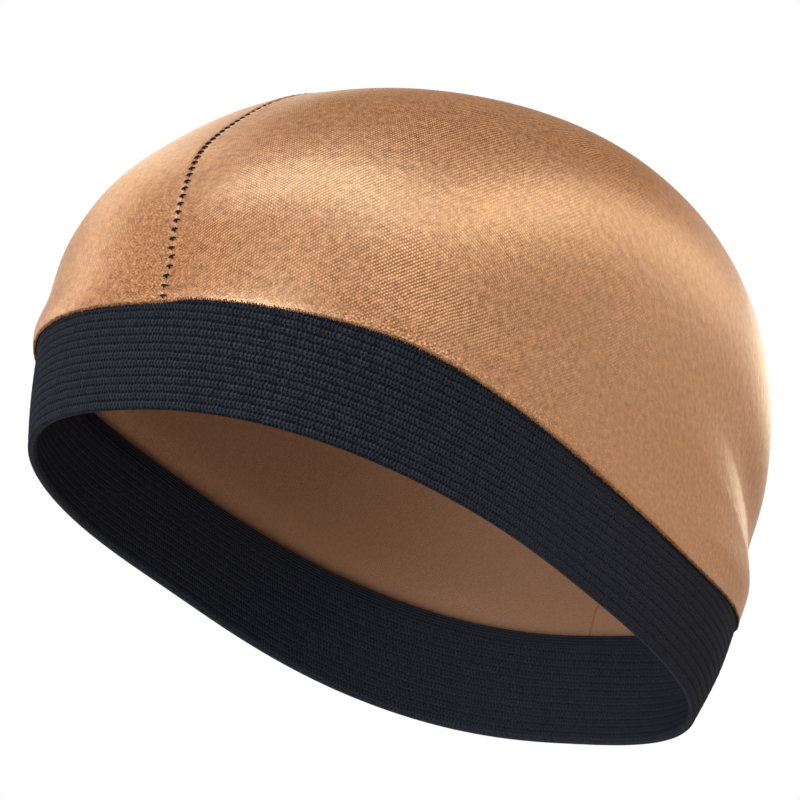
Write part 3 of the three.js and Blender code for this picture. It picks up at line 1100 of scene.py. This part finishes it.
def hem_line(up, out, pitch):
    """Points along both panels' hems, with the hem's direction and the cloth's outward one."""
    hems = []
    for side in (1, -1):
        *grids, ups = panel_places(side)
        row = int(np.searchsorted(ups[:, 0], up))
        share = (up - ups[row - 1, 0]) / (ups[row, 0] - ups[row - 1, 0])
        left, front = (grid[row - 1] * (1 - share) + grid[row] * share for grid in grids)
        normal = skin_normal(left, front)
        reach = hem_reach(np.full_like(left, up), np.arctan2(left, front)) + out
        line = skin(left, front) + normal * reach[:, None]
        run = run_along(line)
        marks = np.arange(pitch / 2, run[-1], pitch)
        spot = at_marks(marks, run, line)
        hems.append((spot, unit(np.gradient(spot, axis=0)), at_marks(marks, run, normal)))
    return [np.concatenate(parts) for parts in zip(*hems)]


def build_loops(name, up, out, pitch, seed):
    """One row of loops along the hem."""
    spot, ahead, outward = hem_line(up, out, pitch)
    shake = np.random.default_rng(seed).normal(0, LOOP_SHAKE, spot.shape)
    sizes = np.random.default_rng(seed + 1).uniform(*LOOP_SIZES, len(spot))
    piece = points_with_directions(name, spot + shake, outward, ahead, sizes)
    print(name, len(spot), "loops")
    return apply_tree(piece, stitch_tree(loop, satin_edge), sway=LOOP_SWAY, seed=seed)


satin_edge = edge_material()
loop = loop_model()
edge_rows = [build_loops(*row) for row in LOOP_ROWS]
bpy.data.objects.remove(loop)

# %% [markdown]
# ## Studio
# Satin shows its lights more than its own colour, so the lights are the half of this material that isn't
# in the shader. A long soft box overhead runs from side to side and on down behind the cap, and makes the
# band of sheen over the crown. A large one in front fills the brow, and smaller ones at the sides and
# behind pick out the edges and the fold. They are a little cool in front and warm behind. The room is
# white round the horizon, which keeps the background white, and a warm grey above, so that the sheen
# stands out.

# %% Floor and surroundings
FLOOR_HEIGHT = -0.42
FLOOR_RADIUS = 3.6
FLOOR_CORNERS = 96
ROOM_WHITE = (1.0, 1.0, 1.0, 1.0)
CEILING = (0.44, 0.343, 0.262, 1.0)
WHITE_UP_TO = 0.14  # height of a direction above the horizon, where straight up is 1
GREY_FROM = 0.33


def add_floor():
    """Large pale floor, well below the cap."""
    turns = np.arange(FLOOR_CORNERS) * math.tau / FLOOR_CORNERS
    corners = [(math.cos(a) * FLOOR_RADIUS, math.sin(a) * FLOOR_RADIUS, FLOOR_HEIGHT) for a in turns]
    floor = new_mesh_object("floor", corners, [range(FLOOR_CORNERS)])
    shader = Shader("pale_floor")
    floor.data.materials.append(shader.finish(Base_Color=(0.94, 0.94, 0.94, 1), Roughness=0.9))
    floor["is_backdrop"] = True


def white_room():
    """Surroundings that are white from the floor to a little above the horizon, and warm grey overhead."""
    world = bpy.data.worlds.new("white_room")
    world.use_nodes = True
    room = Nodes(world.node_tree)
    height = room.add("SeparateXYZ", {0: room.add("TexCoord", None, "Generated")}, "Z")
    fade = {"Value": height, "From Min": WHITE_UP_TO, "From Max": GREY_FROM}
    share = room.add("MapRange", fade, interpolation_type="SMOOTHSTEP")
    room.put(room.tree.nodes["Background"].inputs["Color"], room.mix(share, ROOM_WHITE, CEILING))
    bpy.context.scene.world = world


add_floor()
white_room()
bpy.context.scene.view_settings.view_transform = "Standard"
print("floor", FLOOR_HEIGHT, "m below the rim's middle")

# %% Soft boxes
STUDIO_MIDDLE = Vector((0.0, 0.02, 0.06))


def place_at(azimuth, elevation, distance):
    """Place seen from the cap's middle, with both angles in degrees."""
    return STUDIO_MIDDLE + direction(math.radians(azimuth), math.radians(elevation)) * distance


def add_softbox(name, start, end, width, brightness, colour):
    """Rectangular light that faces the cap, its long side from start to end. Brightness 1 is paper white."""
    data = bpy.data.lights.new(name, "AREA")
    data.shape = "RECTANGLE"
    data.color = colour
    data.size, data.size_y = (end - start).length, width
    data.energy = brightness * math.pi * data.size * data.size_y
    light = bpy.data.objects.new(name, data)
    middle = (start + end) / 2
    back = (middle - STUDIO_MIDDLE).normalized()
    along = (end - start).normalized()
    back = (back - along * back.dot(along)).normalized()
    light.matrix_world = Matrix((along, back.cross(along), back)).transposed().to_4x4()
    light.matrix_world.translation = middle
    light.visible_camera = False
    bpy.context.scene.collection.objects.link(light)
    return light


NEUTRAL = (1.0, 1.0, 1.0)
COOL = (0.93, 1.0, 1.08)
WARM = (1.06, 1.0, 0.90)
SOFTBOXES = (  # name, one end (azimuth, elevation, distance), other end, width, brightness, colour
    ("overhead", (-59, 55, 1.1), (84, 45.5, 1.1), 0.27, 4.35, COOL),
    ("right", (87.5, 43.5, 1.1), (136.4, 34.7, 0.854), 0.27, 3.8, WARM),
    ("right_far", (136.4, 34.7, 0.854), (170, 10.5, 1.1), 0.27, 2.5, WARM),
    ("rim_low", (179, 4, 1.3), (204, 4, 1.3), 0.2, 3.3, WARM),
    ("rim_high", (168, 16, 1.3), (198, 16, 1.3), 0.2, 0.7, WARM),
    ("crown_back", (-138, 17, 1.1), (-118, 22, 1.1), 0.25, 1.7, WARM),
    ("left_back", (-118, 40, 1.1), (-95, 27, 1.1), 0.5, 2.0, WARM),
    ("left", (-92, 22, 1.3), (-70, 18, 1.3), 0.7, 2.2, NEUTRAL),
    ("front", (10, 35, 1.3), (40, 35, 1.3), 0.5, 1.05, COOL),
    ("brow_fill", (-13, 1, 1.3), (27, 1, 1.3), 0.8, 7.5, COOL),
)
lights = [
    add_softbox(name, place_at(*start), place_at(*end), width, brightness, colour)
    for name, start, end, width, brightness, colour in SOFTBOXES
]
print({light.name: round(light.data.energy, 1) for light in lights})

# %% Fasten the pieces to the frame
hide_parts("crown_left")
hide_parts("crown_right")
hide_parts("elastic_band")
for piece in (*panels.values(), band, stitches, *edge_rows):
    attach(piece, "root")

# %% Say how large the cloth was cut
for side, panel in panels.items():
    left, front, ups = panel_places(side)
    spots = skin(left, front)
